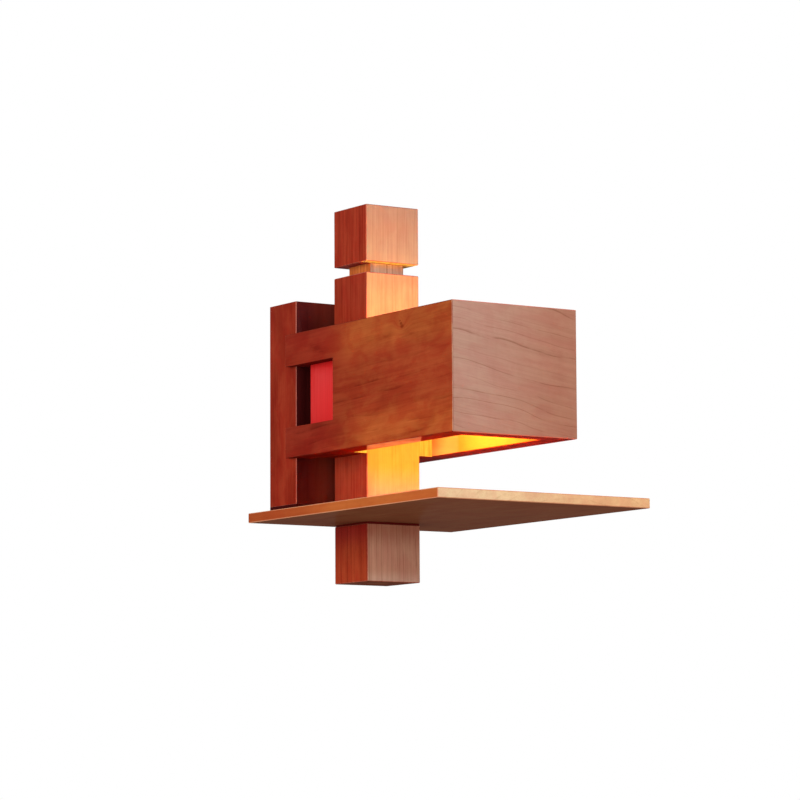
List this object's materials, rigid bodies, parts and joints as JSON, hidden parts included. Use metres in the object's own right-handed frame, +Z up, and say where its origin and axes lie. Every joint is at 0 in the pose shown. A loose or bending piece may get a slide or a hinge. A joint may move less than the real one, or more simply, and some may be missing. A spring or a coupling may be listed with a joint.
{
  "type": "wall lamp with shelf",
  "caption": "Timber wall lamp: a shade box open above and below on a square column, with a thin shelf under it and a flat box against the wall.",
  "frame": {"origin": "centre of the wall box's back, on the wall plane, midway between the wall screws", "axes": "+X to the right as seen from the room, +Y into the wall, +Z up"},
  "size_m": [0.1944, 0.3123, 0.3019],
  "materials": {
    "shade_wood": "satin varnish over red-brown stain",
    "front_wood": "satin varnish",
    "column_wood": "satin varnish over red-brown stain",
    "shelf_wood": "satin varnish",
    "red_lacquer": "red lacquer",
    "dark_stain": "dark maroon stain",
    "dowel_wood": "bare",
    "zinc_steel": "zinc plated",
    "brass": "bright",
    "holder_porcelain": "glazed white",
    "bulb_nickel": "nickel plated",
    "bulb_glass": "frosted warm white",
    "black_insulator": "matt black",
    "terminal_plastic": "natural",
    "lead_brown": "insulation",
    "lead_blue": "insulation"
  },
  "bodies": {
    "root": {"side_panel_left": "shade_wood", "side_panel_right": "shade_wood", "cheek_left": "shade_wood", "cheek_right": "shade_wood", "front_panel": "front_wood", "post": "column_wood", "neck": "column_wood", "top_block": "column_wood", "lower_block": "column_wood", "bolt_plug": "column_wood", "wall_box_left": "column_wood", "wall_box_right": "column_wood", "wall_box_top": "column_wood", "shelf": "shelf_wood", "red_block_left": "red_lacquer", "red_block_right": "red_lacquer", "wall_box_front": "dark_stain", "wall_box_bottom": "dark_stain", "reveal_packer": "dark_stain", "neck_dowel": "dowel_wood", "cheek_dowels": "dowel_wood", "shelf_dowels": "dowel_wood", "wall_bracket": "zinc_steel", "casing_screws": "zinc_steel", "terminal_fixing": "zinc_steel", "support_tube": "zinc_steel", "spacer_sleeve": "zinc_steel", "tube_washer": "zinc_steel", "tine_screws": "zinc_steel", "shelf_bolt": "zinc_steel", "bolt_washer": "zinc_steel", "earth_screw": "brass", "terminal_clamps": "brass", "tube_nut": "brass", "lampholder_shell": "brass", "centre_contact": "brass", "bolt_insert": "brass", "lampholder_cap": "holder_porcelain", "lampholder_body": "holder_porcelain", "bulb_cap": "bulb_nickel", "bulb_contact": "bulb_nickel", "bulb_glass": "bulb_glass", "bulb_insulator": "black_insulator", "cable_bush": "black_insulator", "terminal_block": "terminal_plastic", "live_lead": "lead_brown", "neutral_lead": "lead_blue"}
  },
  "joints": []
}
